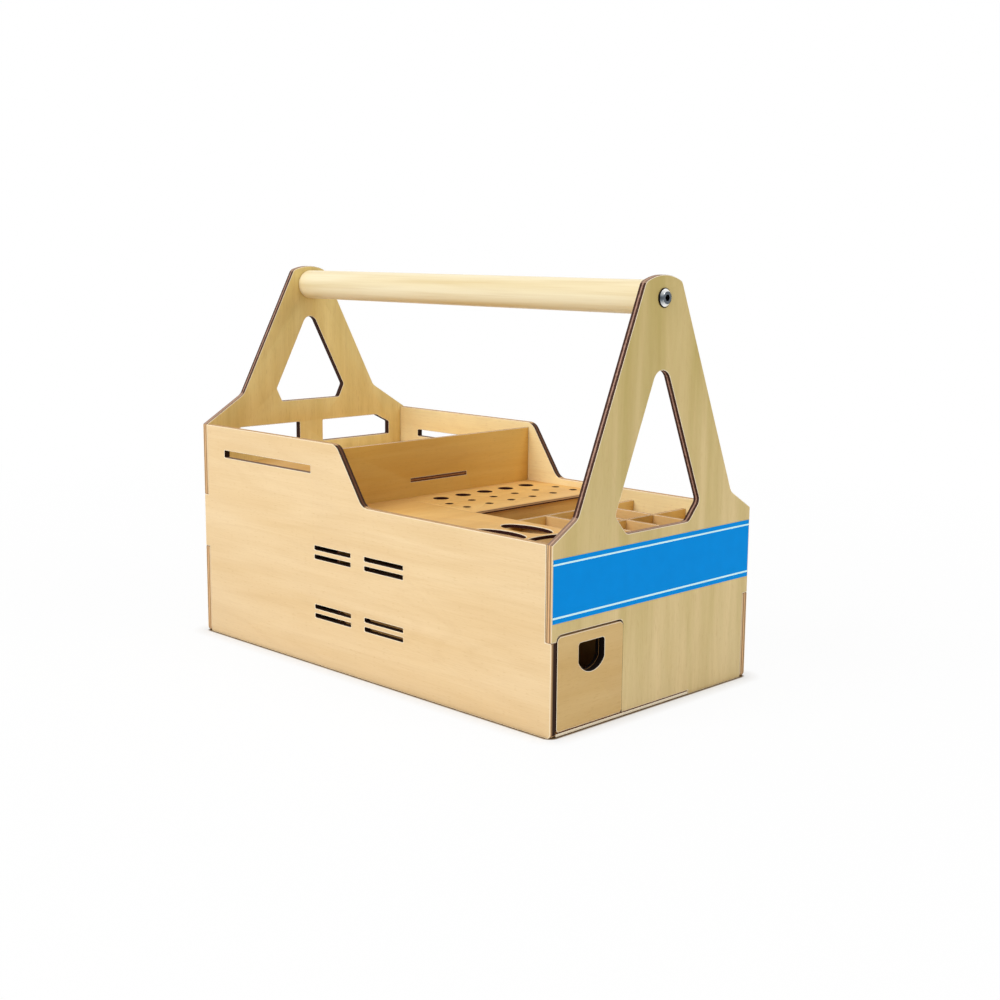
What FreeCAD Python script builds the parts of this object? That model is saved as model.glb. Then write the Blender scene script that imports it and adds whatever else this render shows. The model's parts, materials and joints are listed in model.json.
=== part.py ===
import FreeCAD, Part
import math
import os

# Wooden tool tote with a drawer: a laser-cut plywood box with two A-shaped end frames and a dowel handle.
# X runs along the tote towards the drawer end, Y across it and Z up.
# The origin is the middle of the base, and all sizes are in millimetres.

# Plywood stock and what the laser leaves open in a joint
ply = 5.0
thin_ply = 2.7
kerf_gap = 0.1
overrun = 2.0
same_point = 0.0000001

# The box
body_length = 364.4
body_width = 200.0
low_wall = 120.6
high_wall = 161.3
far_finger_bottom = 67.0
far_finger_height = 40.5
floor_tab_half = 35.7
foot_round = 3.0

# Side walls: the step down, the strap slot and the air vents
step_lead = 3.5
step_run = 27.7
step_round = 10.0
strap_slot_margin = 22.5
strap_slot_width = 5.4
strap_slot_drop = 20.3
vent_length = 39.7
vent_width = 3.0
vent_inner_x = 7.4
vent_centre_z = 60.9
vent_low_offset = 18.1
vent_high_offset = 24.6

# Both end frames
frame_height = 279.8
crown_radius = 40.0
crown_corner_drop = 3.8
crown_corner_round = 5.0
shoulder_round = 8.0

# Drawer end: legs and the window between them
near_shoulder_run = 22.5
near_shoulder_rise = 13.4
near_crown_half = 17.86
near_leg_breadth = 32.9
near_window_drop = 15.2
near_window_corner_drop = 2.5
near_window_base_inset = 46.0
near_window_round = 5.0
near_window_apex_round = 8.6

# Far end: legs, the window between them and two grip windows
far_shoulder_run = 34.5
far_shoulder_rise = 20.7
far_crown_half = 15.68
far_leg_breadth = 27.0
far_window_drop = 7.7
far_window_corner_rise = 2.5
far_window_base_inset = 37.0
far_window_round = 2.0
far_window_apex_round = 6.8
grip_inner_y = 11.7
grip_margin = 18.0
grip_drop = 4.8
grip_height = 16.9
grip_clip_width = 13.8
grip_clip_height = 6.7
grip_round = 1.0

# Handle and its screws
handle_diameter = 22.0
handle_drop = 14.3
screw_diameter = 6.0
screw_length = 20.0
screw_hole = 6.5
screw_head_diameter = 11.4
screw_head_flat = 8.0
screw_head_height = 2.0
screw_head_rim = 0.5
socket_flats = 4.0
socket_depth = 2.1
washer_diameter = 12.6
washer_thickness = 0.5
insert_diameter = 9.0
insert_length = 13.0
insert_hole_depth = 15.5
thread_gap = 0.05

# Rear tray, inner walls and decks
divider_drop = 3.9
rear_tray_depth = 31.6
rear_tab_half = 27.9
deck_drop = 4.6
tool_deck_length = 75.0
tool_deck_overhang = 8.5
tunnel_wall_setback = 3.35
cup_wall_setback = 80.2
wall_tab_length = 24.0
tabs_per_wall = 3

# Tray, with the cells on both sides of its dividers: a trough at the tool deck, and cells in an egg crate
tray_depth = 41.3
tray_cell_lengths = [40.2, 47.8, 48.2]
tray_cell_widths = [36.8, 29.0, 29.0, 35.0]

# Tool holes, in rows across the tool deck
tool_hole_edge = 10.2
large_hole_diameter = 11.0
large_hole_setback = 18.3
small_hole_diameter = 5.3
small_hole_count = 6
small_row_setback = 20.6
small_row_pitch = 18.1
small_row_count = 2

# Oval cup holes for bottles, measured from the drawer end
cup_length = 42.4
cup_width = 20.6
cup_single_setback = 27.6
cup_pair_setback = 60.7
cup_pair_half_pitch = 12.3

# Drawer and its opening in the near end frame
drawer_length = 200.0
opening_width = 62.2
opening_round = 4.1
drawer_gap = 0.6
drawer_seam_gap = 0.2
drawer_top_gap = 1.2
drawer_lift = 0.3
drawer_stop_gap = 0.2
drawer_back_gap = 2.7
drawer_headroom = 4.4
drawer_tab_length = 26.0
drawer_front_round = 3.2
drawer_foot_round = 2.2
pull_width = 24.0
pull_offset = 1.0
pull_drop = 8.3
pull_straight = 12.5
pull_sag = 7.3
pull_round = 2.0

# Printed band on the drawer end, between the drawer opening and the shoulders
band_foot_gap = 7.6
band_head_gap = 8.8
band_margin = 0.9
band_thickness = 0.15

# Places along the tote
end_x = body_length / 2
inner_x = end_x - ply
box_back_x = inner_x - drawer_length
divider_front_x = box_back_x - drawer_back_gap
divider_back_x = divider_front_x - thin_ply
step_head_x = divider_front_x + step_lead
step_foot_x = step_head_x + step_run
strap_low_x = strap_slot_margin - inner_x
strap_high_x = divider_back_x - strap_slot_margin
deck_edge_x = divider_front_x + tool_deck_length
tray_wall_x = deck_edge_x - tool_deck_overhang
cup_wall_x = inner_x - cup_wall_setback
large_hole_x = divider_front_x + large_hole_setback
small_hole_x = large_hole_x + small_row_setback

# Places across it
side_y = body_width / 2
inner_y = side_y - ply
opening_inner_y = opening_width - inner_y
tunnel_wall_y = opening_inner_y - tunnel_wall_setback
tunnel_outer_y = tunnel_wall_y - thin_ply / 2
tunnel_inner_y = tunnel_wall_y + thin_ply / 2
front_outer_y = drawer_gap - inner_y
front_inner_y = opening_inner_y - drawer_seam_gap
box_inner_y = tunnel_outer_y - drawer_gap

# Places above the base
handle_height = frame_height - handle_drop
near_finger_top = low_wall / 2
far_finger_top = far_finger_bottom + far_finger_height
opening_top = near_finger_top + opening_round
roof_top = opening_top + thin_ply
deck_top = low_wall - deck_drop
deck_under = deck_top - thin_ply
tray_floor_top = deck_under - tray_depth
tray_floor_bottom = tray_floor_top - thin_ply
divider_top = high_wall - divider_drop
rear_shelf_top = high_wall - rear_tray_depth
rear_shelf_bottom = rear_shelf_top - thin_ply
box_bottom = thin_ply + drawer_lift
box_top = opening_top - drawer_headroom
drawer_floor_top = box_bottom + thin_ply


def point(axis, u, v, w):
    """The point at u, v in a panel's own plane and at w along the axis that the panel is square to."""
    if axis == "x":
        return FreeCAD.Vector(w, u, v)
    if axis == "y":
        return FreeCAD.Vector(u, w, v)
    return FreeCAD.Vector(u, v, w)


def unit(u, v):
    length = math.hypot(u, v)
    return (u / length, v / length)


def rounded(before, corner, after, radius):
    """The arc of a radius that rounds a corner, as its start, middle and end."""
    back = unit(before[0] - corner[0], before[1] - corner[1])
    on = unit(after[0] - corner[0], after[1] - corner[1])
    half = math.acos(back[0] * on[0] + back[1] * on[1]) / 2
    reach = radius / math.tan(half)
    inward = unit(back[0] + on[0], back[1] + on[1])
    middle = radius / math.sin(half) - radius
    start = (corner[0] + back[0] * reach, corner[1] + back[1] * reach)
    centre = (corner[0] + inward[0] * middle, corner[1] + inward[1] * middle)
    end = (corner[0] + on[0] * reach, corner[1] + on[1] * reach)
    return [(start, centre, end)]


def wire(axis, w, corners):
    """A closed wire through corners (u, v) or (u, v, radius), or lists of arcs (start, middle, end)."""
    runs = []
    for place, corner in enumerate(corners):
        before = corners[place - 1]
        after = corners[(place + 1) % len(corners)]
        if isinstance(corner, list):
            runs.append(corner)
        elif len(corner) == 3:
            back = before[-1][-1] if isinstance(before, list) else before
            on = after[0][0] if isinstance(after, list) else after
            runs.append(rounded(back, corner, on, corner[2]))
        else:
            runs.append([(corner, corner, corner)])
    edges = []
    for place, run in enumerate(runs):
        for start, middle, end in run:
            if start != end:
                arc = Part.Arc(point(axis, *start, w), point(axis, *middle, w), point(axis, *end, w))
                edges.append(arc.toShape())
        here = point(axis, *run[-1][-1][:2], w)
        there = point(axis, *runs[(place + 1) % len(runs)][0][0][:2], w)
        if here.distanceToPoint(there) > same_point:
            edges.append(Part.makeLine(here, there))
    return Part.Wire(edges)


def rectangle(u0, u1, v0, v1):
    return [(u0, v0), (u1, v0), (u1, v1), (u0, v1)]


def plate(axis, start, end, outline, holes=(), round_holes=()):
    """A flat panel between two places on its axis: an outline with shaped and round holes in it."""
    wires = [wire(axis, start, outline)]
    wires += [wire(axis, start, hole) for hole in holes]
    for u, v, radius in round_holes:
        circle = Part.Circle(point(axis, u, v, start), point(axis, 0, 0, overrun), radius)
        wires.append(Part.Wire(circle.toShape()))
    face = Part.makeFace(wires, "Part::FaceMakerBullseye")
    return face.extrude(point(axis, 0, 0, end - start))


def block(x0, x1, y0, y1, z0, z1):
    return Part.makeBox(x1 - x0, y1 - y0, z1 - z0, FreeCAD.Vector(x0, y0, z0))


def joined(shape, extras):
    """A panel with its tabs fused on."""
    return shape.fuse(extras).removeSplitter()


def spaced(low, high, count):
    """The middles of count equal stretches between two places."""
    stretch = (high - low) / count
    return [low + stretch * (place + 0.5) for place in range(count)]


def evenly(first, last, count):
    """Places from the first to the last, evenly apart."""
    pitch = (last - first) / (count - 1)
    return [first + pitch * place for place in range(count)]


def shared(low, high, cells):
    """Places that part the run from low to high into cells of the given proportions."""
    scale = (high - low) / sum(cells)
    return [low + scale * sum(cells[:place]) for place in range(1, len(cells))]


def mirrored(corners):
    """The corners of the opposite half of a symmetrical outline, in the order that goes on round it."""
    return [(-corner[0], *corner[1:]) for corner in reversed(corners)]


def leg_slope(shoulder_half, shoulder_top, crown_half):
    """How far a leg leans inward for each unit of rise."""
    return (shoulder_half - crown_half) / (frame_height - crown_corner_drop - shoulder_top)


def crown(foot_half, foot_z, slope):
    """The rounded top of an end frame, as three arcs that touch each other and both legs."""
    along = unit(-slope, 1)
    inward = (-along[1], along[0])
    middle_z = frame_height - crown_radius
    reach_u = foot_half + inward[0] * crown_corner_round
    reach_v = foot_z + inward[1] * crown_corner_round - middle_z
    forward = reach_u * along[0] + reach_v * along[1]
    spare = reach_u ** 2 + reach_v ** 2 - (crown_radius - crown_corner_round) ** 2
    travel = math.sqrt(forward ** 2 - spare) - forward
    centre = (reach_u + along[0] * travel, reach_v + along[1] * travel + middle_z)
    out = unit(centre[0], centre[1] - middle_z)
    bisector = unit(out[0] - inward[0], out[1] - inward[1])
    arc = []
    for turn in ((-inward[0], -inward[1]), bisector, out):
        arc.append((centre[0] + turn[0] * crown_corner_round, centre[1] + turn[1] * crown_corner_round))
    top = (arc[2], (0, frame_height), (-arc[2][0], arc[2][1]))
    return [tuple(arc), top, tuple(mirrored(arc))]


def frame_top(wall_height, shoulder_half, shoulder_top, slope):
    """The outline of an end frame above its shoulders, from the +Y side over the crown to the -Y side."""
    rise = [(side_y, wall_height), (shoulder_half, shoulder_top, shoulder_round)]
    return rise + [crown(shoulder_half, shoulder_top, slope)] + mirrored(rise)


def window_apex(shoulder_half, shoulder_top, slope, breadth):
    """The height at which the inner edges of two legs of the given breadth meet."""
    return shoulder_top + (shoulder_half - breadth * math.hypot(1, slope)) / slope


def leg_window(base, base_half, corner_z, apex_z, slope, radius, apex_radius):
    """The window between the legs of an end frame, with its sides parallel to the legs."""
    corner_half = (apex_z - corner_z) * slope
    foot = [(base_half, base, radius), (corner_half, corner_z, radius)]
    return foot + [(0, apex_z, apex_radius)] + mirrored(foot)


def rear_tab_slot():
    """The slot in an upright panel for a tab of the rear tray's floor."""
    reach = rear_tab_half + kerf_gap
    return rectangle(-reach, reach, rear_shelf_bottom - kerf_gap, rear_shelf_top + kerf_gap)


def near_end_panel():
    shoulder_half = side_y - near_shoulder_run
    shoulder_top = low_wall + near_shoulder_rise
    slope = leg_slope(shoulder_half, shoulder_top, near_crown_half)
    outline = [
        (floor_tab_half + kerf_gap, 0),
        (inner_y - kerf_gap, 0),
        (inner_y - kerf_gap, near_finger_top),
        (side_y, near_finger_top),
        *frame_top(low_wall, shoulder_half, shoulder_top, slope),
        (-side_y, near_finger_top),
        (-inner_y, near_finger_top),
        (-inner_y, opening_top, opening_round),
        (opening_inner_y, opening_top, opening_round),
        (opening_inner_y, thin_ply + kerf_gap),
        (floor_tab_half + kerf_gap, thin_ply + kerf_gap),
    ]
    window = leg_window(
        base=shoulder_top - near_window_drop,
        base_half=shoulder_half - near_window_base_inset,
        corner_z=shoulder_top - near_window_corner_drop,
        apex_z=window_apex(shoulder_half, shoulder_top, slope, near_leg_breadth),
        slope=slope,
        radius=near_window_round,
        apex_radius=near_window_apex_round,
    )
    return plate("x", inner_x, end_x, outline, [window], [(0, handle_height, screw_hole / 2)])


def far_end_panel():
    shoulder_half = side_y - far_shoulder_run
    shoulder_top = high_wall + far_shoulder_rise
    slope = leg_slope(shoulder_half, shoulder_top, far_crown_half)
    edge = [
        (floor_tab_half + kerf_gap, thin_ply + kerf_gap),
        (floor_tab_half + kerf_gap, 0),
        (side_y, 0, foot_round),
        (side_y, far_finger_bottom),
        (inner_y - kerf_gap, far_finger_bottom),
        (inner_y - kerf_gap, far_finger_top),
        (side_y, far_finger_top),
    ]
    top = frame_top(high_wall, shoulder_half, shoulder_top, slope)
    window = leg_window(
        base=shoulder_top - far_window_drop,
        base_half=shoulder_half - far_window_base_inset,
        corner_z=shoulder_top + far_window_corner_rise,
        apex_z=window_apex(shoulder_half, shoulder_top, slope, far_leg_breadth),
        slope=slope,
        radius=far_window_round,
        apex_radius=far_window_apex_round,
    )
    grip_top = high_wall - grip_drop
    grip_bottom = grip_top - grip_height
    grip_outer_y = side_y - grip_margin
    grip = [
        (grip_inner_y, grip_bottom, grip_round),
        (grip_outer_y, grip_bottom, grip_round),
        (grip_outer_y, grip_top - grip_clip_height, grip_round),
        (grip_outer_y - grip_clip_width, grip_top, grip_round),
        (grip_inner_y, grip_top, grip_round),
    ]
    holes = [window, grip, mirrored(grip), rear_tab_slot()]
    return plate("x", -end_x, -inner_x, edge + top + mirrored(edge), holes, [(0, handle_height, screw_hole / 2)])


def side_panel(low_y, high_y):
    outline = [
        (kerf_gap - inner_x, 0),
        (end_x, 0, foot_round),
        (end_x, near_finger_top - kerf_gap),
        (inner_x - kerf_gap, near_finger_top - kerf_gap),
        (inner_x - kerf_gap, low_wall),
        (step_foot_x, low_wall, step_round),
        (step_head_x, high_wall, step_round),
        (kerf_gap - inner_x, high_wall),
        (kerf_gap - inner_x, far_finger_top - kerf_gap),
        (-end_x, far_finger_top - kerf_gap),
        (-end_x, far_finger_bottom + kerf_gap),
        (kerf_gap - inner_x, far_finger_bottom + kerf_gap),
    ]
    strap_low = high_wall - strap_slot_drop - strap_slot_width / 2
    holes = [rectangle(strap_low_x, strap_high_x, strap_low, strap_low + strap_slot_width)]
    for offset in (-vent_high_offset, -vent_low_offset, vent_low_offset, vent_high_offset):
        vent_low = vent_centre_z + offset - vent_width / 2
        for start in (-vent_inner_x - vent_length, vent_inner_x):
            holes.append(rectangle(start, start + vent_length, vent_low, vent_low + vent_width))
    return plate("y", low_y, high_y, outline, holes)


def floor_panel():
    sheet = block(kerf_gap - inner_x, inner_x - kerf_gap, kerf_gap - inner_y, inner_y - kerf_gap, 0, thin_ply)
    near_tab = block(inner_x - kerf_gap, end_x, kerf_gap - inner_y, floor_tab_half, 0, thin_ply)
    far_tab = block(-end_x, kerf_gap - inner_x, -floor_tab_half, floor_tab_half, 0, thin_ply)
    return joined(sheet, [near_tab, far_tab])


def rear_shelf():
    """The floor of the rear tray, with a tab through the far end and another through the divider."""
    sheet = block(kerf_gap - inner_x, divider_back_x - kerf_gap, kerf_gap - inner_y, inner_y - kerf_gap,
                  rear_shelf_bottom, rear_shelf_top)
    tabs = block(-end_x, divider_front_x, -rear_tab_half, rear_tab_half, rear_shelf_bottom, rear_shelf_top)
    return joined(sheet, [tabs])


def cross_divider():
    """The wall between the rear tray and the decks."""
    outline = rectangle(kerf_gap - inner_y, inner_y - kerf_gap, thin_ply, divider_top)
    return plate("x", divider_back_x, divider_front_x, outline, [rear_tab_slot()])


def tool_deck():
    """The deck over the tool holes, which ends at the tray."""
    outline = rectangle(divider_front_x + kerf_gap, deck_edge_x, tunnel_wall_y + kerf_gap / 2,
                        inner_y - kerf_gap)
    first_y = tunnel_wall_y + tool_hole_edge
    last_y = inner_y - tool_hole_edge
    small_ys = evenly(first_y, last_y, small_hole_count)
    holes = []
    for y in spaced(first_y, last_y, small_hole_count - 1):
        holes.append((large_hole_x, y, large_hole_diameter / 2))
    for row in range(small_row_count):
        holes += [(small_hole_x + row * small_row_pitch, y, small_hole_diameter / 2) for y in small_ys]
    return plate("z", deck_under, deck_top, outline, round_holes=holes)


def oval_cut(x, y, length_x, length_y):
    """A straight oval cutter through the cup shelf."""
    low = deck_under - overrun
    centre = FreeCAD.Vector(x, y, low)
    along = FreeCAD.Vector(x + length_x / 2, y, low)
    across = FreeCAD.Vector(x, y + length_y / 2, low)
    if length_x > length_y:
        oval = Part.Ellipse(along, across, centre)
    else:
        oval = Part.Ellipse(across, along, centre)
    return Part.Face(Part.Wire(oval.toShape())).extrude(FreeCAD.Vector(0, 0, thin_ply + 2 * overrun))


def cup_shelf():
    """The shelf over the drawer tunnel, with a pair of oval holes along it and one across."""
    shelf = block(divider_front_x + kerf_gap, inner_x - kerf_gap, kerf_gap - inner_y,
                  tunnel_wall_y - kerf_gap / 2, deck_under, deck_top)
    middle_y = (tunnel_outer_y - inner_y) / 2
    pair_x = inner_x - cup_pair_setback
    cuts = [
        oval_cut(pair_x, middle_y - cup_pair_half_pitch, cup_length, cup_width),
        oval_cut(pair_x, middle_y + cup_pair_half_pitch, cup_length, cup_width),
        oval_cut(inner_x - cup_single_setback, middle_y, cup_width, cup_length),
    ]
    return shelf.cut(cuts)


def wall_tabs(low, high):
    """The places along a wall where its shelf's tabs go through, each as a start and an end."""
    middles = spaced(low, high, tabs_per_wall)
    return [(middle - wall_tab_length / 2, middle + wall_tab_length / 2) for middle in middles]


def tunnel_wall():
    """The wall between the drawer tunnel and the tray, with slots for both shelves' tabs."""
    outline = rectangle(divider_front_x + kerf_gap, inner_x - drawer_stop_gap, thin_ply, deck_under)
    slots = []
    for start, end in wall_tabs(divider_front_x, inner_x):
        slots.append(rectangle(start - kerf_gap, end + kerf_gap, opening_top - kerf_gap, roof_top + kerf_gap))
    for start, end in wall_tabs(tray_wall_x, inner_x):
        slots.append(rectangle(start - kerf_gap, end + kerf_gap, tray_floor_bottom - kerf_gap,
                               tray_floor_top + kerf_gap))
    return plate("y", tunnel_outer_y, tunnel_inner_y, outline, slots)


def tunnel_roof():
    """The roof of the drawer tunnel, on which the bottles stand."""
    sheet = block(divider_front_x + kerf_gap, inner_x - kerf_gap, kerf_gap - inner_y, tunnel_outer_y - kerf_gap,
                  opening_top, roof_top)
    tabs = []
    for start, end in wall_tabs(divider_front_x, inner_x):
        tabs.append(block(start, end, tunnel_outer_y - kerf_gap, tunnel_inner_y, opening_top, roof_top))
    return joined(sheet, tabs)


def cup_cross_wall():
    """The wall under the cup shelf that closes the bottles' compartment."""
    return block(cup_wall_x - thin_ply, cup_wall_x, kerf_gap - inner_y, tunnel_outer_y - kerf_gap, roof_top,
                 deck_under)


def tray_cross_wall():
    """The wall that carries the tool deck's edge and closes the tray."""
    outline = rectangle(tunnel_inner_y + kerf_gap, inner_y - kerf_gap, thin_ply, deck_under)
    slots = []
    for start, end in wall_tabs(tunnel_inner_y, inner_y):
        slots.append(rectangle(start - kerf_gap, end + kerf_gap, tray_floor_bottom - kerf_gap,
                               tray_floor_top + kerf_gap))
    return plate("x", tray_wall_x - thin_ply, tray_wall_x, outline, slots)


def tray_floor():
    sheet = block(tray_wall_x + kerf_gap, inner_x - kerf_gap, tunnel_inner_y + kerf_gap, inner_y - kerf_gap,
                  tray_floor_bottom, tray_floor_top)
    tabs = []
    for start, end in wall_tabs(tray_wall_x, inner_x):
        tabs.append(block(start, end, tunnel_outer_y, tunnel_inner_y + kerf_gap, tray_floor_bottom,
                          tray_floor_top))
    for start, end in wall_tabs(tunnel_inner_y, inner_y):
        tabs.append(block(tray_wall_x - thin_ply, tray_wall_x + kerf_gap, start, end, tray_floor_bottom,
                          tray_floor_top))
    return joined(sheet, tabs)


def tray_cross_divider(x):
    """A divider across the tray, with halving slots cut down from its top."""
    top = deck_under - kerf_gap
    half_way = (tray_floor_top + top) / 2
    sheet = block(x - thin_ply / 2, x + thin_ply / 2, tunnel_inner_y + kerf_gap, inner_y - kerf_gap,
                  tray_floor_top, top)
    slot_half = thin_ply / 2 + kerf_gap
    cuts = []
    for y in long_divider_ys:
        cuts.append(block(x - thin_ply, x + thin_ply, y - slot_half, y + slot_half, half_way - kerf_gap,
                          top + overrun))
    return sheet.cut(cuts)


def tray_long_divider(y):
    """A divider from the trough to the drawer end, with halving slots cut up from its bottom."""
    top = deck_under - kerf_gap
    half_way = (tray_floor_top + top) / 2
    sheet = block(cross_divider_xs[0] - thin_ply / 2, inner_x - kerf_gap, y - thin_ply / 2, y + thin_ply / 2,
                  tray_floor_top, top)
    slot_half = thin_ply / 2 + kerf_gap
    cuts = []
    for x in cross_divider_xs:
        cuts.append(block(x - slot_half, x + slot_half, y - thin_ply, y + thin_ply, tray_floor_top - overrun,
                          half_way + kerf_gap))
    return sheet.cut(cuts)


def pull_hole():
    """The finger hole: straight above, round below."""
    middle = (front_outer_y + front_inner_y) / 2 + pull_offset
    low_y = middle - pull_width / 2
    high_y = middle + pull_width / 2
    top = opening_top - pull_drop
    arc_z = top - pull_straight
    bottom = [((low_y, arc_z), (middle, arc_z - pull_sag), (high_y, arc_z))]
    return [bottom, (high_y, top, pull_round), (low_y, top, pull_round)]


def drawer_front():
    outline = [
        (front_outer_y, box_bottom, drawer_foot_round),
        (front_inner_y, box_bottom, drawer_foot_round),
        (front_inner_y, opening_top - drawer_top_gap, drawer_front_round),
        (front_outer_y, opening_top - drawer_top_gap, drawer_front_round),
    ]
    return plate("x", inner_x, end_x, outline, [pull_hole()])


def finger_band():
    """The bottom and top of the finger at the middle of each corner of the drawer box."""
    third = (box_top - box_bottom) / 3
    return box_bottom + third, box_top - third


def drawer_end_wall(low_x, high_x, holes):
    """An end wall of the drawer box: its middle fingers reach through the sides, and a notch takes the floor."""
    finger_low, finger_high = finger_band()
    low_y = front_outer_y + thin_ply + kerf_gap
    high_y = box_inner_y - thin_ply - kerf_gap
    middle_y = (low_y + high_y) / 2
    notch_half = drawer_tab_length / 2 + kerf_gap
    notch_top = drawer_floor_top + kerf_gap
    outline = [
        (low_y, box_bottom),
        (middle_y - notch_half, box_bottom),
        (middle_y - notch_half, notch_top),
        (middle_y + notch_half, notch_top),
        (middle_y + notch_half, box_bottom),
        (high_y, box_bottom),
        (high_y, finger_low),
        (box_inner_y, finger_low),
        (box_inner_y, finger_high),
        (high_y, finger_high),
        (high_y, box_top),
        (low_y, box_top),
        (low_y, finger_high),
        (front_outer_y, finger_high),
        (front_outer_y, finger_low),
        (low_y, finger_low),
    ]
    return plate("x", low_x, high_x, outline, holes)


def drawer_tabs():
    """The places along the drawer's side walls where the floor's tabs go through."""
    middles = spaced(box_back_x, inner_x, tabs_per_wall)
    return [(middle - drawer_tab_length / 2, middle + drawer_tab_length / 2) for middle in middles]


def drawer_side_wall(low_y, high_y):
    """A side wall of the drawer box, notched for the end walls' fingers and the floor's tabs."""
    finger_low, finger_high = finger_band()
    wall = block(box_back_x, inner_x, low_y, high_y, box_bottom, box_top)
    cuts = []
    for low_x, high_x in ((box_back_x - overrun, box_back_x + thin_ply + kerf_gap),
                          (inner_x - thin_ply - kerf_gap, inner_x + overrun)):
        cuts.append(block(low_x, high_x, low_y - overrun, high_y + overrun, finger_low - kerf_gap,
                          finger_high + kerf_gap))
    for start, end in drawer_tabs():
        cuts.append(block(start - kerf_gap, end + kerf_gap, low_y - overrun, high_y + overrun,
                          box_bottom - overrun, drawer_floor_top + kerf_gap))
    return wall.cut(cuts)


def drawer_floor():
    low_y = front_outer_y + thin_ply + kerf_gap
    high_y = box_inner_y - thin_ply - kerf_gap
    low_x = box_back_x + thin_ply + kerf_gap
    high_x = inner_x - thin_ply - kerf_gap
    middle_y = (low_y + high_y) / 2
    sheet = block(low_x, high_x, low_y, high_y, box_bottom, drawer_floor_top)
    tabs = [block(box_back_x, inner_x, middle_y - drawer_tab_length / 2, middle_y + drawer_tab_length / 2,
                  box_bottom, drawer_floor_top)]
    for start, end in drawer_tabs():
        tabs.append(block(start, end, front_outer_y, box_inner_y, box_bottom, drawer_floor_top))
    return joined(sheet, tabs)


def rod(start_x, end_x, radius):
    """A round bar on the handle's axis between two places along X."""
    return Part.makeCylinder(radius, end_x - start_x, FreeCAD.Vector(start_x, 0, handle_height),
                             FreeCAD.Vector(1, 0, 0))


def at_both_ends(shape):
    """A piece at the drawer end and its mirror image at the far end, as one group."""
    return Part.makeCompound([shape, shape.mirror(FreeCAD.Vector(0, 0, 0), FreeCAD.Vector(1, 0, 0))])


def handle_dowel():
    end = inner_x - kerf_gap
    bar = rod(-end, end, handle_diameter / 2)
    holes = at_both_ends(rod(end - insert_hole_depth, end + overrun, insert_diameter / 2))
    return bar.cut(holes)


def handle_inserts():
    """Threaded sleeves in the ends of the handle."""
    end = inner_x - kerf_gap
    sleeve = rod(end - insert_length, end, insert_diameter / 2 - thread_gap)
    bore = rod(end - insert_length - overrun, end + overrun, screw_diameter / 2 + thread_gap)
    return at_both_ends(sleeve.cut(bore))


def handle_washers():
    washer = rod(end_x, end_x + washer_thickness, washer_diameter / 2)
    return at_both_ends(washer.cut(rod(end_x - overrun, end_x + washer_thickness + overrun, screw_hole / 2)))


def handle_screws():
    """Low-head screws with a hexagon socket: the head is a slice of a ball over a thin rim."""
    seat = end_x + washer_thickness
    rim_radius = screw_head_diameter / 2
    flat_radius = screw_head_flat / 2
    rim_drop = flat_radius ** 2 + screw_head_height ** 2 - rim_radius ** 2 - screw_head_rim ** 2
    ball_x = rim_drop / (2 * (screw_head_height - screw_head_rim))
    ball_radius = math.hypot(flat_radius, screw_head_height - ball_x)
    lean = (math.atan2(rim_radius, screw_head_rim - ball_x) + math.atan2(flat_radius, screw_head_height - ball_x)) / 2
    shank_radius = screw_diameter / 2

    def at(along, radius):
        return FreeCAD.Vector(seat + along, 0, handle_height + radius)

    dome_middle = at(ball_x + ball_radius * math.cos(lean), ball_radius * math.sin(lean))
    corners = [at(-screw_length, 0), at(-screw_length, shank_radius), at(0, shank_radius), at(0, rim_radius),
               at(screw_head_rim, rim_radius)]
    edges = [Part.makeLine(start, end) for start, end in zip(corners, corners[1:])]
    edges.append(Part.Arc(corners[-1], dome_middle, at(screw_head_height, flat_radius)).toShape())
    edges.append(Part.makeLine(at(screw_head_height, flat_radius), at(screw_head_height, 0)))
    edges.append(Part.makeLine(at(screw_head_height, 0), corners[0]))
    body = Part.Face(Part.Wire(edges)).revolve(at(0, 0), FreeCAD.Vector(1, 0, 0), 360)
    corner_radius = socket_flats / math.sqrt(3)
    hexagon = []
    for turn in range(6):
        angle = math.radians(60) * turn
        hexagon.append((corner_radius * math.cos(angle), handle_height + corner_radius * math.sin(angle)))
    head_x = seat + screw_head_height
    socket = plate("x", head_x - socket_depth, head_x + overrun, hexagon)
    return at_both_ends(body.cut(socket))


def end_band():
    """The thin printed band across the drawer end."""
    reach = side_y - band_margin
    return block(end_x, end_x + band_thickness, -reach, reach, opening_top + band_foot_gap,
                 low_wall - band_head_gap)


cross_divider_xs = shared(tray_wall_x, inner_x, tray_cell_lengths)
long_divider_ys = shared(tunnel_inner_y, inner_y, tray_cell_widths)

nodes = {
    "near_end_panel": near_end_panel(),
    "far_end_panel": far_end_panel(),
    "near_side_panel": side_panel(-side_y, -inner_y),
    "far_side_panel": side_panel(inner_y, side_y),
    "floor_panel": floor_panel(),
    "rear_shelf": rear_shelf(),
    "cross_divider": cross_divider(),
    "tool_deck": tool_deck(),
    "cup_shelf": cup_shelf(),
    "tunnel_wall": tunnel_wall(),
    "tunnel_roof": tunnel_roof(),
    "cup_cross_wall": cup_cross_wall(),
    "tray_cross_wall": tray_cross_wall(),
    "tray_floor": tray_floor(),
    "drawer_front": drawer_front(),
    "drawer_inner_front": drawer_end_wall(inner_x - thin_ply, inner_x, [pull_hole()]),
    "drawer_back": drawer_end_wall(box_back_x, box_back_x + thin_ply, []),
    "drawer_outer_side": drawer_side_wall(front_outer_y, front_outer_y + thin_ply),
    "drawer_inner_side": drawer_side_wall(box_inner_y - thin_ply, box_inner_y),
    "drawer_floor": drawer_floor(),
    "handle_dowel": handle_dowel(),
    "handle_inserts": handle_inserts(),
    "handle_washers": handle_washers(),
    "handle_screws": handle_screws(),
    "end_band": end_band(),
}
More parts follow.
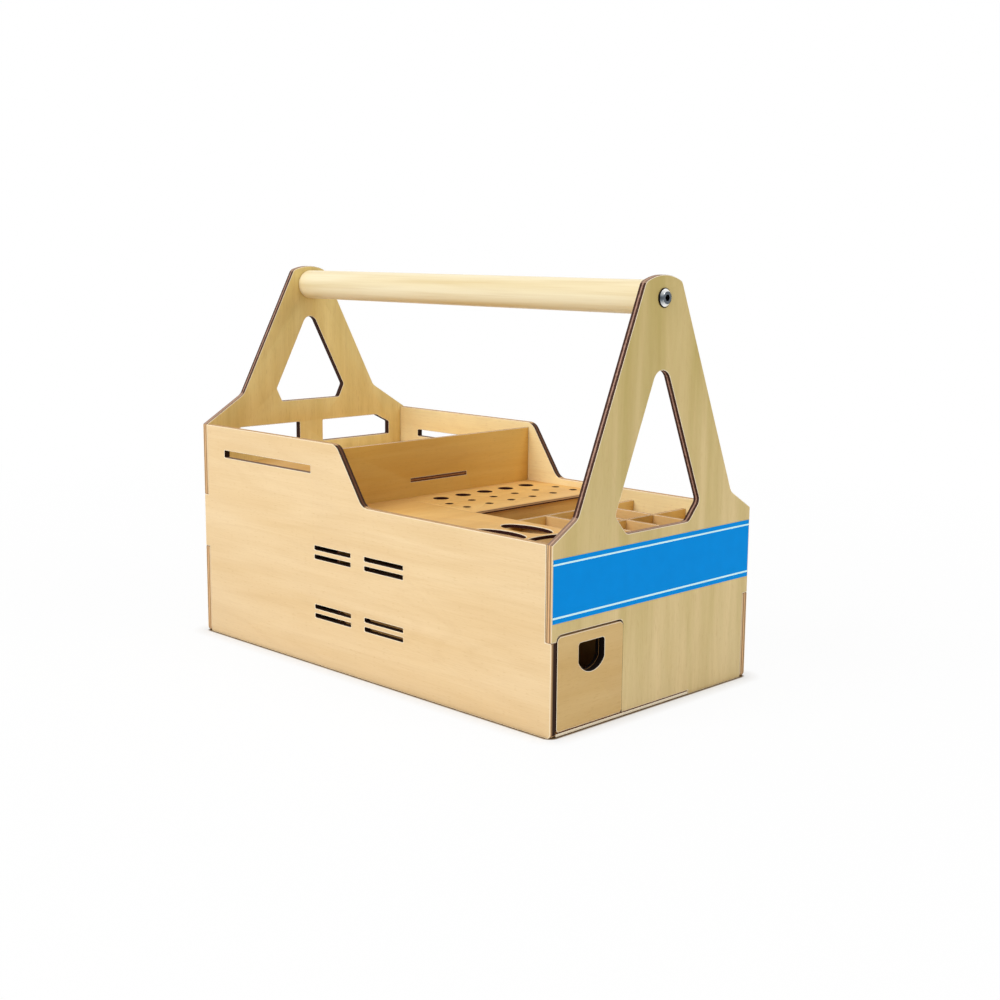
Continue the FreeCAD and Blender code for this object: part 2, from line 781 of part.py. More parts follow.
for number, place in enumerate(cross_divider_xs, 1):
    nodes["tray_cross_divider_" + str(number)] = tray_cross_divider(place)
for number, place in enumerate(long_divider_ys, 1):
    nodes["tray_long_divider_" + str(number)] = tray_long_divider(place)

os.makedirs("parts", exist_ok=True)
for name, shape in nodes.items():
    if not shape.isValid():
        raise ValueError(name + " is not a valid solid")
    shape.exportStep("parts/" + name + ".step")
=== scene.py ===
import json
import math

import bmesh
import bpy
from mathutils import Matrix, Vector

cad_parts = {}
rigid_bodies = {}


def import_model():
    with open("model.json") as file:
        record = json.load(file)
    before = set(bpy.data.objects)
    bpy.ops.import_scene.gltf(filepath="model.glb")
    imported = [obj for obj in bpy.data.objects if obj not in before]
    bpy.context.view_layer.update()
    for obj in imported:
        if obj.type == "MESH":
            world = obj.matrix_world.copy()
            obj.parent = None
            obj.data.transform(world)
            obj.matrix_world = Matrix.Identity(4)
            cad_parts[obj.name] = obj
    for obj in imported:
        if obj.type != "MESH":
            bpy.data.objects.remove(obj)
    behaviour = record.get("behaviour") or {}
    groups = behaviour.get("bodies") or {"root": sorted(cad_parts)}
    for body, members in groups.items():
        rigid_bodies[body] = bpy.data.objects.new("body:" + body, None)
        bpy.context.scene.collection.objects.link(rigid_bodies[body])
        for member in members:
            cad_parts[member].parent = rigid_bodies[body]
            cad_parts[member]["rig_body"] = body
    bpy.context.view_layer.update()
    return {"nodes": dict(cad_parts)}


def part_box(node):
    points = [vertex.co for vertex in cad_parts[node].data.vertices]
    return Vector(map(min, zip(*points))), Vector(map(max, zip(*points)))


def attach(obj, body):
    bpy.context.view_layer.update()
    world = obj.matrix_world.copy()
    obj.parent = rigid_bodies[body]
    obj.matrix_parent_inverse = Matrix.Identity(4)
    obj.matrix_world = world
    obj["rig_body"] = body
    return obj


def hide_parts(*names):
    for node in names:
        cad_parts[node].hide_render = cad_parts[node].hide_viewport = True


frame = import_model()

# Wooden tool tote with a drawer. X runs along it towards the drawer end, Y across it and Z up, in metres.
mm = 0.001

# How a copied CAD mesh is cleaned
merge_gap = 0.001 * mm
flat_angle = math.radians(0.1)
corner_angle = math.radians(30)
smooth_angle = math.radians(28)

# Eased arrises on the plywood
thick_arris = 0.5 * mm
thin_arris = 0.22 * mm
cup_arris = 0.45 * mm
tool_arris = 0.35 * mm
scorched_and_shaded_arris = 0.45 * mm

# How far a face leans towards the axis that its sheet is square to, from 0 to 1. Veneer is over flat_lean,
# the wall of a cut under wall_lean, and a cut face under cut_lean, or under rim_lean on top of the cup shelf.
flat_lean = 0.99
wall_lean = 0.01
cut_lean = 0.6
rim_lean = 0.3

# How far a cut face leans towards an axis to count as facing along it, or as a shoulder that looks up
axis_lean = 0.9
shoulder_lean = 0.6

# What lies on the tote's outer skin, is only as wide as a sheet, or is at the feet or above the vents
skin = 0.5 * mm
sheet_limit = 8.0 * mm
foot_top = 4.0 * mm
vents_top = 100 * mm

# How a cut edge was left: either how far in from the outer veneer, from -1 to 1, it was sanded clean, or how
# hard it burned. The palest edge is freshly sanded through to pale wood, and is also painted with a
# highlight.
bare_and_highlit = 3.0
sanded = 2.0
mostly_sanded = 0.25
half_sanded = -0.25
singed = -1.5
burned = -2.0
# The blackest edge is sooty and also painted shade, for the dark inside holes
blackened_and_shaded = -3.0

# Patterns of the veneer, by their length along the grain and their width across it, and how strong they are
streak_size = (200 * mm, 18 * mm)
growth_size = (260 * mm, 40 * mm)
growth_lines = 62.0
growth_share = 0.06
fibre_size = (45 * mm, 0.9 * mm)
fibre_share = 0.13
fleck_size = (5 * mm, 0.5 * mm)
fleck_share = 0.25
# How pale the eased arris is painted: sanded wood with a painted highlight
eased_highlight_share = 0.85
relief_depth = 0.04 * mm

# How far up the veneer's painted shade reaches on the end frames, which grow darker and warmer upwards
upward_shade_reach = 0.22

# Plies on a cut edge, by how far they are from the middle of the sheet, where its faces are 1: where the core
# fades in, where the glue line lies and how far from there it fades in, and how softly sanded meets burned
core_blend = (0.3, 0.08)
glue_place = 0.45
glue_blend = (0.27, 0.1)
clean_blend = 0.1

# Patches on a cut edge and how far they shift its core, and how light a singed edge is
patch_size = 2.2 * mm
patch_reach = 0.5
singed_share = 0.4

# Patterns of the dowel
dowel_streak_size = (240 * mm, 7 * mm)
dowel_fibre_size = (60 * mm, 0.8 * mm)
dowel_fibre_share = 0.25
dowel_relief_depth = 0.03 * mm

# Steel: its marks, and its painted reflections: how bright it is painted as it faces up or along the handle,
# and where its three tones lie
steel_mark_size = 1.5 * mm
steel_mark_reach = 0.2
lit_upwards = 0.9
lit_along = 0.35
painted_reflection_tones = (0.15, 0.42, 0.85)

# Patterns of the brass and the film
tool_mark_size = (0.3 * mm, 2 * mm)
mottle_size = 9 * mm
peel_size = 1.2 * mm
peel_depth = 0.01 * mm

# Handle, screws and washers
turning_steps = 72
dowel_arris = 0.6 * mm
dowel_bore = 4.5 * mm
dowel_bore_depth = 15.5 * mm
washer_arris = 0.12 * mm
washer_gap = 0.25 * mm
sleeve_arris = 0.25 * mm
screw_length = 20.0 * mm
screw_shank_radius = 3.0 * mm
screw_rim = 0.5 * mm
screw_flat_radius = 4.0 * mm
screw_rim_round = 0.15 * mm
socket_flats = 4.0 * mm
socket_depth = 2.1 * mm
socket_floor_drop = 0.5 * mm
dome_steps = 10

# White lines of the printed band, by their heights above the floor
low_line = (74.9 * mm, 76.1 * mm)
high_line = (107.95 * mm, 109.05 * mm)

# The photographer's camera
camera_place = Vector((0.77134, -0.73673, 0.29679))
camera_turn = math.radians(44.859)
camera_tilt = math.radians(9.722)
camera_roll = math.radians(0.449)
camera_lens = 53.417
sensor_width = 36.0

# Floor and light. The floor's own white fades in with the distance from the tote's foot, in three steps, and
# right at the foot its paint turns brown, a painted contact shade. Each lamp has a place, a width and a
# power.
floor_reach = 6.0
base_corner = 5.0 * mm
contact_line = (0.8 * mm, 2.6 * mm)
contact_glow = 0.5
near_shadow = (3 * mm, 14 * mm)
near_glow = 0.44
far_shadow = (100 * mm, 900 * mm)
far_glow = 0.06
ambient_strength = 0.3
lamp_aim = Vector((0, 0, 0.12))
lamps = {
    "key": ((-0.4, -3.0, 2.0), 2.2, 84),
    "fill": ((2.8, 0.8, 1.4), 1.8, 31),
    "top": ((-0.3, 0.3, 2.8), 2.0, 25),
}

# Colours that all the plywood shares: its eased arris and freshly sanded edge, pale wood with a painted
# highlight, the plies of a sanded edge, and a light burn's tan
pale_wood_and_highlight_colour = "#F9ECD2"
sanded_ply_colour = "#E0BE90"
sanded_core_colour = "#D8AA7C"
glue_colour = "#8A6742"
singed_colour = "#CCAA90"

# Places in the list of a Mix node's sockets when it mixes colours
FACTOR, FIRST, SECOND, MIXED = 0, 6, 7, 2


def linear(colour):
    """An sRGB hex colour as linear red, green, blue and alpha."""
    channels = [int(colour[start:start + 2], 16) / 255 for start in (1, 3, 5)]
    return [c / 12.92 if c <= 0.04045 else ((c + 0.055) / 1.055) ** 2.4 for c in channels] + [1.0]


def add(tree, kind, inputs=None, **settings):
    """Adds a node: settings are its properties, and inputs are numbers, colours or sockets to link from."""
    node = tree.nodes.new("ShaderNode" + kind)
    for name, value in settings.items():
        setattr(node, name, value)
    for key, value in (inputs or {}).items():
        if isinstance(value, bpy.types.NodeSocket):
            tree.links.new(value, node.inputs[key])
        else:
            node.inputs[key].default_value = value
    return node


def new_material(name):
    """An empty material with its node tree and its output node."""
    material = bpy.data.materials.new(name)
    material.use_nodes = True
    material.node_tree.nodes.clear()
    return material, material.node_tree, add(material.node_tree, "OutputMaterial")


def stretched(grain, along, across):
    """The scale that makes one unit of a pattern so long along the grain and so wide across it."""
    scale = [1 / across] * 3
    scale["xyz".index(grain)] = 1 / along
    return scale


def plywood(name, grain, outside, inside, ring, char, core, soot_and_shade, upward_shade=0.0):
    """Three-ply laser-cut sheet: pale sanded veneer, and cut edges that show the plies.

    The veneers outside and inside each have a pale and a warm tone, and where the inside ones are lighter
    this is partly painted light. The face has broad soft streaks along the grain, faint growth lines, fibres
    and short dark flecks, and its eased arris is the palest, sanded wood with a painted highlight. A burned
    edge is dark outer plies round a lighter core, one burned black is sooty all over and partly painted
    shade, and a sanded one is pale with a thin dark glue line on each side of the core.
    """
    material, tree, output = new_material(name)
    place = add(tree, "TexCoord").outputs["Object"]
    depth = add(tree, "Attribute", attribute_name="depth").outputs["Fac"]
    cut = add(tree, "Attribute", attribute_name="cut").outputs["Fac"]
    eased = add(tree, "Attribute", attribute_name="eased").outputs["Fac"]
    left = add(tree, "Attribute", attribute_name="left").outputs["Fac"]

    # The two faces of a sheet are different veneers, so the pattern jumps from one to the other
    apart = add(tree, "VectorMath", {0: depth, "Scale": 1.0}, operation="SCALE")
    spread = add(tree, "VectorMath", {0: place, 1: apart.outputs["Vector"]},
                 operation="ADD").outputs["Vector"]

    # Broad streaks, which can shift towards the darker warm tone as the sheet goes up: a painted shade
    streak_place = add(tree, "Mapping", {"Vector": spread, "Scale": stretched(grain, *streak_size)})
    streak = add(tree, "TexNoise", {"Vector": streak_place.outputs[0], "Scale": 1.0, "Detail": 4.0,
                                    "Roughness": 0.5, "Distortion": 0.4}).outputs["Fac"]
    height = add(tree, "SeparateXYZ", {"Vector": place}).outputs["Z"]
    streak = add(tree, "Math", {0: height, 1: upward_shade, 2: streak}, operation="MULTIPLY_ADD").outputs[0]
    warm = add(tree, "MapRange", {"Value": streak, "From Min": 0.3,
                                  "From Max": 0.7 + upward_shade * upward_shade_reach}).outputs[0]
    within = add(tree, "MapRange", {"Value": depth, "From Min": -1.0}).outputs[0]
    tones = []
    for outer, inner in zip(outside, inside):
        tones.append(add(tree, "Mix", {FACTOR: within, FIRST: linear(outer), SECOND: linear(inner)},
                         data_type="RGBA").outputs[MIXED])
    veneer = add(tree, "Mix", {FACTOR: warm, FIRST: tones[0], SECOND: tones[1]},
                 data_type="RGBA").outputs[MIXED]

    # Growth lines follow the contours of a slow noise, several millimetres apart
    growth_place = add(tree, "Mapping", {"Vector": spread, "Scale": stretched(grain, *growth_size)})
    growth = add(tree, "TexNoise", {"Vector": growth_place.outputs[0], "Scale": 1.0,
                                    "Detail": 1.0}).outputs["Fac"]
    contour = add(tree, "Math", {0: growth, 1: growth_lines}, operation="MULTIPLY").outputs[0]
    wave = add(tree, "Math", {0: contour}, operation="SINE").outputs[0]
    growth_line = add(tree, "MapRange", {"Value": wave, "From Min": 0.2, "From Max": 1.0,
                                         "To Max": growth_share}).outputs[0]
    veneer = add(tree, "Mix", {FACTOR: growth_line, FIRST: veneer, SECOND: linear(ring)},
                 data_type="RGBA").outputs[MIXED]

    # Fibres are finer than a pixel, so they are drawn nearly a millimetre wide
    fibre_place = add(tree, "Mapping", {"Vector": spread, "Scale": stretched(grain, *fibre_size)})
    fibre = add(tree, "TexNoise", {"Vector": fibre_place.outputs[0], "Scale": 1.0, "Detail": 3.0,
                                   "Roughness": 0.65}).outputs["Fac"]
    dark_fibre = add(tree, "MapRange", {"Value": fibre, "From Min": 0.42, "From Max": 0.75,
                                        "To Max": fibre_share}).outputs[0]
    veneer = add(tree, "Mix", {FACTOR: dark_fibre, FIRST: veneer, SECOND: linear(ring)},
                 data_type="RGBA").outputs[MIXED]

    # Pores and rays show as short flecks
    fleck_place = add(tree, "Mapping", {"Vector": spread, "Scale": stretched(grain, *fleck_size)})
    fleck = add(tree, "TexNoise", {"Vector": fleck_place.outputs[0], "Scale": 1.0,
                                   "Detail": 0.0}).outputs["Fac"]
    dark_fleck = add(tree, "MapRange", {"Value": fleck, "From Min": 0.66, "From Max": 0.8,
                                        "To Max": fleck_share}).outputs[0]
    veneer = add(tree, "Mix", {FACTOR: dark_fleck, FIRST: veneer, SECOND: linear(ring)},
                 data_type="RGBA").outputs[MIXED]
    # The eased arris is painted pale, sanded wood with a painted highlight
    pale = add(tree, "Math", {0: eased, 1: eased_highlight_share}, operation="MULTIPLY").outputs[0]
    veneer = add(tree, "Mix", {FACTOR: pale, FIRST: veneer, SECOND: linear(pale_wood_and_highlight_colour)},
                 data_type="RGBA").outputs[MIXED]

    # A cut edge is patchy, and its core ply lies in the middle. Only burned and singed edges show their
    # plies, and what is dark on the others is a sooty colour, which in holes and in the gap beside the drawer
    # front is also painted shade.
    patch = add(tree, "TexNoise", {"Vector": place, "Scale": 1 / patch_size, "Detail": 3.0,
                                   "Roughness": 0.7}).outputs["Fac"]
    wander = add(tree, "Math", {0: patch, 1: patch_reach, 2: -patch_reach / 2},
                 operation="MULTIPLY_ADD").outputs[0]
    off_middle = add(tree, "Math", {0: depth}, operation="ABSOLUTE").outputs[0]
    ply_depth = add(tree, "Math", {0: off_middle, 1: wander}, operation="ADD").outputs[0]
    in_core = add(tree, "MapRange", {"Value": ply_depth, "From Min": core_blend[0],
                                     "From Max": core_blend[1]}).outputs[0]
    burn = add(tree, "Mix", {FACTOR: in_core, FIRST: linear(char), SECOND: linear(core)},
               data_type="RGBA").outputs[MIXED]
    plain = add(tree, "Math", {0: left, 1: (burned + singed) / 2, 2: 0.6}, operation="COMPARE").outputs[0]
    burn = add(tree, "Mix", {FACTOR: plain, FIRST: linear(soot_and_shade), SECOND: burn},
               data_type="RGBA").outputs[MIXED]
    light = add(tree, "Math", {0: left, 1: singed, 2: 0.2}, operation="COMPARE").outputs[0]
    tan = add(tree, "Math", {0: light, 1: singed_share}, operation="MULTIPLY").outputs[0]
    burn = add(tree, "Mix", {FACTOR: tan, FIRST: burn, SECOND: linear(singed_colour)},
               data_type="RGBA").outputs[MIXED]

    # On a sanded edge the plies differ little, and the glue lines are drawn wider than real so that they show
    glue_depth = add(tree, "Math", {0: off_middle, 1: glue_place}, operation="SUBTRACT").outputs[0]
    glue_away = add(tree, "Math", {0: glue_depth}, operation="ABSOLUTE").outputs[0]
    in_glue = add(tree, "MapRange", {"Value": glue_away, "From Min": glue_blend[0],
                                     "From Max": glue_blend[1]}).outputs[0]
    clean = add(tree, "Mix", {FACTOR: in_core, FIRST: linear(sanded_ply_colour),
                              SECOND: linear(sanded_core_colour)}, data_type="RGBA").outputs[MIXED]
    clean = add(tree, "Mix", {FACTOR: in_glue, FIRST: clean, SECOND: linear(glue_colour)},
                data_type="RGBA").outputs[MIXED]
    # The palest edge is painted near white, freshly sanded wood with a painted highlight
    is_bare_and_highlit = add(tree, "MapRange", {"Value": left, "From Min": sanded, "From Max": bare_and_highlit}).outputs[0]
    clean = add(tree, "Mix", {FACTOR: is_bare_and_highlit, FIRST: clean, SECOND: linear(pale_wood_and_highlight_colour)},
                data_type="RGBA").outputs[MIXED]
    reach = add(tree, "Math", {0: left, 1: depth}, operation="SUBTRACT").outputs[0]
    is_clean = add(tree, "MapRange", {"Value": reach, "From Min": -clean_blend,
                                      "From Max": clean_blend}).outputs[0]
    edge = add(tree, "Mix", {FACTOR: is_clean, FIRST: burn, SECOND: clean},
               data_type="RGBA").outputs[MIXED]
    colour = add(tree, "Mix", {FACTOR: cut, FIRST: veneer, SECOND: edge}, data_type="RGBA").outputs[MIXED]

    # The fibres stand a few hundredths of a millimetre proud, and a cut edge is rougher than the sanded face
    relief = add(tree, "Math", {0: fibre, 1: patch}, operation="ADD").outputs[0]
    bump = add(tree, "Bump", {"Height": relief, "Distance": relief_depth, "Strength": 0.5}).outputs["Normal"]
    sheen = add(tree, "MapRange", {"Value": cut, "To Min": 0.5, "To Max": 0.8}).outputs[0]
    surface = add(tree, "BsdfPrincipled", {"Base Color": colour, "Roughness": sheen, "IOR": 1.5,
                                           "Specular IOR Level": 0.2, "Normal": bump})
    tree.links.new(surface.outputs[0], output.inputs["Surface"])
    return material


def turned_dowel():
    """Lacquered softwood dowel: creamy, with long straight fibres that give it a soft satin streak."""
    material, tree, output = new_material("Turned dowel, satin lacquer")
    place = add(tree, "TexCoord").outputs["Object"]
    streak_place = add(tree, "Mapping", {"Vector": place, "Scale": stretched("x", *dowel_streak_size)})
    streak = add(tree, "TexNoise", {"Vector": streak_place.outputs[0], "Scale": 1.0, "Detail": 3.0,
                                    "Distortion": 0.3}).outputs["Fac"]
    wood = add(tree, "ValToRGB", {"Fac": streak})
    wood.color_ramp.elements[0].position = 0.34
    wood.color_ramp.elements[0].color = linear("#DDC897")
    wood.color_ramp.elements[1].position = 0.66
    wood.color_ramp.elements[1].color = linear("#EEE0BB")
    fibre_place = add(tree, "Mapping", {"Vector": place, "Scale": stretched("x", *dowel_fibre_size)})
    fibre = add(tree, "TexNoise", {"Vector": fibre_place.outputs[0], "Scale": 1.0,
                                   "Detail": 3.0}).outputs["Fac"]
    dark_fibre = add(tree, "MapRange", {"Value": fibre, "From Min": 0.5, "From Max": 0.78,
                                        "To Max": dowel_fibre_share}).outputs[0]
    colour = add(tree, "Mix", {FACTOR: dark_fibre, FIRST: wood.outputs["Color"], SECOND: linear("#CDAE78")},
                 data_type="RGBA").outputs[MIXED]
    bump = add(tree, "Bump", {"Height": fibre, "Distance": dowel_relief_depth,
                              "Strength": 0.4}).outputs["Normal"]
    surface = add(tree, "BsdfPrincipled", {"Base Color": colour, "Roughness": 0.42, "IOR": 1.5,
                                           "Normal": bump})
    tree.links.new(surface.outputs[0], output.inputs["Surface"])
    return material


def steel(name, dark, middle, bright):
    """Smooth steel with painted reflections of lamps above and below and a dark room beside.

    The painted tones follow how a face is turned: dark sideways, middling out along the handle and bright up
    and down, with faint marks. The socket is painted near black, a painted shade for its recess.
    """
    material, tree, output = new_material(name)
    place = add(tree, "TexCoord")
    mark = add(tree, "TexNoise", {"Vector": place.outputs["Object"], "Scale": 1 / steel_mark_size,
                                  "Detail": 2.0}).outputs["Fac"]
    # Painted reflections: the colour follows how the face is turned, bright up and down and out along the
    # handle
    turn = add(tree, "VectorMath", {0: place.outputs["Normal"]}, operation="ABSOLUTE")
    facing = add(tree, "SeparateXYZ", {"Vector": turn.outputs["Vector"]})
    lamp = add(tree, "Math", {0: mark, 1: steel_mark_reach, 2: -steel_mark_reach / 2},
               operation="MULTIPLY_ADD").outputs[0]
    lamp = add(tree, "Math", {0: facing.outputs["Z"], 1: lit_upwards, 2: lamp},
               operation="MULTIPLY_ADD").outputs[0]
    lamp = add(tree, "Math", {0: facing.outputs["X"], 1: lit_along, 2: lamp},
               operation="MULTIPLY_ADD").outputs[0]
    tone = add(tree, "ValToRGB", {"Fac": lamp})
    tone.color_ramp.elements[0].position = painted_reflection_tones[0]
    tone.color_ramp.elements[0].color = linear(dark)
    tone.color_ramp.elements[1].position = painted_reflection_tones[1]
    tone.color_ramp.elements[1].color = linear(middle)
    tone.color_ramp.elements.new(painted_reflection_tones[2]).color = linear(bright)
    # The socket is painted near black, a painted shade for its recess
    socket_painted_shade = add(tree, "Attribute", attribute_name="socket_painted_shade").outputs["Fac"]
    colour = add(tree, "Mix", {FACTOR: socket_painted_shade, FIRST: tone.outputs["Color"], SECOND: linear("#060606")},
                 data_type="RGBA").outputs[MIXED]
    rough = add(tree, "MapRange", {"Value": mark, "From Min": 0.3, "From Max": 0.7, "To Min": 0.15,
                                   "To Max": 0.25}).outputs[0]
    surface = add(tree, "BsdfPrincipled", {"Base Color": colour, "Metallic": 1.0, "Roughness": rough})
    tree.links.new(surface.outputs[0], output.inputs["Surface"])
    return material


def machined_brass():
    """Machined brass: warm yellow metal with a soft grain from the tool."""
    material, tree, output = new_material("Machined brass")
    place = add(tree, "TexCoord").outputs["Object"]
    grain_place = add(tree, "Mapping", {"Vector": place, "Scale": stretched("x", *tool_mark_size)})
    grain = add(tree, "TexNoise", {"Vector": grain_place.outputs[0], "Scale": 1.0,
                                   "Detail": 2.0}).outputs["Fac"]
    tone = add(tree, "Mix", {FACTOR: grain, FIRST: linear("#A98840"), SECOND: linear("#D2B264")},
               data_type="RGBA").outputs[MIXED]
    surface = add(tree, "BsdfPrincipled", {"Base Color": tone, "Metallic": 1.0, "Roughness": 0.32})
    tree.links.new(surface.outputs[0], output.inputs["Surface"])
    return material


def printed_film():
    """Screen-printed vinyl film: flat bright blue with two white lines, matt enough to hold its colour."""
    material, tree, output = new_material("Screen-printed vinyl film")
    place = add(tree, "TexCoord").outputs["Object"]
    height = add(tree, "SeparateXYZ", {"Vector": place}).outputs["Z"]
    mottle = add(tree, "TexNoise", {"Vector": place, "Scale": 1 / mottle_size, "Detail": 3.0}).outputs["Fac"]
    ink = add(tree, "Mix", {FACTOR: mottle, FIRST: linear("#008CE0"), SECOND: linear("#0094EA")},
              data_type="RGBA").outputs[MIXED]
    for low, high in (low_line, high_line):
        offset = add(tree, "Math", {0: height, 1: (low + high) / 2}, operation="SUBTRACT").outputs[0]
        away = add(tree, "Math", {0: offset}, operation="ABSOLUTE").outputs[0]
        share = add(tree, "Math", {0: away, 1: (high - low) / 2}, operation="LESS_THAN").outputs[0]
        ink = add(tree, "Mix", {FACTOR: share, FIRST: ink, SECOND: linear("#DAFFFF")},
                  data_type="RGBA").outputs[MIXED]
    peel = add(tree, "TexNoise", {"Vector": place, "Scale": 1 / peel_size, "Detail": 1.0}).outputs["Fac"]
    bump = add(tree, "Bump", {"Height": peel, "Distance": peel_depth, "Strength": 0.3}).outputs["Normal"]
    surface = add(tree, "BsdfPrincipled", {"Base Color": ink, "Roughness": 0.55, "IOR": 1.45,
                                           "Specular IOR Level": 0.05, "Normal": bump})
    tree.links.new(surface.outputs[0], output.inputs["Surface"])
    return material


def finished(name, mesh, finish, nodes):
    """Turns a bmesh into a piece that stands for CAD nodes, moves with their body and has a finish."""
    data = bpy.data.meshes.new(name)
    mesh.to_mesh(data)
    mesh.free()
    data.shade_smooth()
    data.set_sharp_from_angle(angle=smooth_angle)
    data.materials.append(finish)
    piece = bpy.data.objects.new(name, data)
    bpy.context.scene.collection.objects.link(piece)
    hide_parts(*nodes)
    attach(piece, frame["nodes"][nodes[0]]["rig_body"])


def merged(node):
    """A copy of a CAD node's mesh, merged into whole flat faces."""
    mesh = bmesh.new()
    mesh.from_mesh(frame["nodes"][node].data)
    bmesh.ops.remove_doubles(mesh, verts=mesh.verts, dist=merge_gap)
    bmesh.ops.dissolve_limit(mesh, angle_limit=flat_angle, verts=mesh.verts, edges=mesh.edges)
    return mesh


def break_edges(mesh, size):
    """Takes the sharpness off every corner edge but those of the seam beside the drawer front."""
    corners = []
    for edge in mesh.edges:
        in_seam = all(abs(vert.co.y - seam_y) < skin and vert.co.x > end_x - skin for vert in edge.verts)
        if edge.calc_face_angle(0) > corner_angle and not in_seam:
            corners.append(edge)
    bmesh.ops.bevel(mesh, geom=corners, offset=size, offset_type="OFFSET", affect="EDGES", segments=2,
                    profile=0.5, material=-1)
    mesh.normal_update()


def hole_walls(cut_faces, low, high):
    """The cut faces that line holes: the groups of joined cut faces that stay inside the sheet's outline."""
    waiting = set(cut_faces)
    walls = set()
    while waiting:
        group = [waiting.pop()]
        for face in group:
            for edge in face.edges:
                joined = waiting.intersection(edge.link_faces)
                waiting -= joined
                group.extend(joined)
        points = [vert.co for face in group for vert in face.verts]
        reach = [max(point[k] for point in points) - min(point[k] for point in points) for k in range(3)]
        if all(reach[k] < high[k] - low[k] - skin or high[k] - low[k] < sheet_limit for k in range(3)):
            walls.update(group)
    return walls


def how_left(node, face, in_hole):
    """How a cut face was left: the outer skin and level tops sanded, decks mostly so, and the rest burned."""
    middle = face.calc_center_median()
    # Hole walls in the sheets listed are painted near black, sooty and painted shade for the dark inside the
    # holes; walls that face up above the vents, where light falls, keep a light burn
    if in_hole:
        if face.normal.z > axis_lean and middle.z > vents_top and node not in decks:
            return singed
        return blackened_and_shaded if node in holes_in_painted_shade else burned
    # The floor panel's end is painted near white: freshly sanded wood with a painted highlight
    if face.normal.x > axis_lean and middle.x > end_x - skin:
        # The near side panel's end beside the drawer front is sanded on its outer part only; the dark inner
        # part is sooty and painted shade for the gap beside the drawer
        return {"near_side_panel": half_sanded, "floor_panel": bare_and_highlit}.get(node, sanded)
    if abs(face.normal.y) > axis_lean and abs(middle.y) > side_y - skin:
        return sanded
    if face.normal.x < -axis_lean and middle.x < skin - end_x:
        return sanded
    if middle.z < foot_top or (abs(face.normal.z) > axis_lean and node not in burned_tops):
        return sanded
    if abs(face.normal.z) > shoulder_lean and node in end_frames:
        return singed
    return mostly_sanded if node in decks else burned


def sheet(node, square_to, finish, slot):
    """A laser-cut sheet, marked with each point's depth in it and with how each face was worked."""
    mesh = merged(node)
    break_edges(mesh, arrises.get(node, thick_arris if slot == thick else thin_arris))
    axis = "xyz".index(square_to)
    low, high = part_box(node)
    middle = (low[axis] + high[axis]) / 2
    half = (high[axis] - low[axis]) / 2
    inward = -1 if middle > 0 else 1
    depth = mesh.verts.layers.float.new("depth")
    cut = mesh.faces.layers.float.new("cut")
    eased = mesh.faces.layers.float.new("eased")
    left = mesh.faces.layers.float.new("left")
    for vert in mesh.verts:
        vert[depth] = inward * (vert.co[axis] - middle) / half
    cut_faces = {face for face in mesh.faces if abs(face.normal[axis]) < cut_lean
                 and not (node == "cup_shelf" and face.normal[axis] >= rim_lean)}
    in_holes = hole_walls(cut_faces, low, high)
    for face in mesh.faces:
        lean = abs(face.normal[axis])
        on_arris = wall_lean < lean < flat_lean
        beside = {other for edge in face.edges for other in edge.link_faces}
        by_tools = node in decks and face.calc_center_median().x < deck_end_x
        # The floor panel's arrises are dark: burn, and at the foot painted shade for the contact line
        if on_arris and node == "floor_panel":
            state = burned
        # The tool deck's arrises beside its holes are painted near black: sooty, and painted shade for the
        # dark inside the holes
        elif on_arris and node == "tool_deck" and not beside.isdisjoint(in_holes):
            state = blackened_and_shaded
        elif face in cut_faces:
            state = how_left(node, face, face in in_holes)
        else:
            # Eased arrises are painted pale: sanded wood with a painted highlight
            face[eased] = float(lean < flat_lean and finish != box_ply and not by_tools)
            continue
        face[cut] = 1.0
        face[left] = state
    finished(node + "_sheet", mesh, finish, [node])


def turned(profile, closed):
    """Spins a profile of points (along X, out from the axis) round the handle's axis."""
    mesh = bmesh.new()
    verts = [mesh.verts.new((x, 0, handle_height + radius)) for x, radius in profile]
    rims = list(zip(verts, verts[1:]))
    if closed:
        rims.append((verts[-1], verts[0]))
    edges = [mesh.edges.new(pair) for pair in rims]
    bmesh.ops.spin(mesh, geom=verts + edges, cent=(0, 0, handle_height), axis=(1, 0, 0), angle=math.tau,
                   steps=turning_steps, use_merge=True, use_duplicate=False)
    bmesh.ops.remove_doubles(mesh, verts=mesh.verts, dist=merge_gap)
    bmesh.ops.recalc_face_normals(mesh, faces=mesh.faces)
    return mesh


def other_end(mesh):
    """Adds the mirror image of a fastener at the far end."""
    copies = bmesh.ops.duplicate(mesh, geom=mesh.verts[:] + mesh.edges[:] + mesh.faces[:])["geom"]
    verts = [item for item in copies if isinstance(item, bmesh.types.BMVert)]
    bmesh.ops.scale(mesh, vec=(-1, 1, 1), verts=verts)
    bmesh.ops.recalc_face_normals(mesh, faces=mesh.faces)


def dowel(finish):
    """The round handle, with eased ends and a bore for the threaded insert in each."""
    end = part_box("handle_dowel")[1].x
    radius = (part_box("handle_dowel")[1].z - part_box("handle_dowel")[0].z) / 2
    half = [
        (end - dowel_bore_depth, 0),
        (end - dowel_bore_depth, dowel_bore),
        (end, dowel_bore),
        (end, radius - dowel_arris),
        (end - dowel_arris, radius),
    ]
    mesh = turned(half + [(-x, r) for x, r in reversed(half)], closed=False)
    finished("handle_round_bar", mesh, finish, ["handle_dowel"])


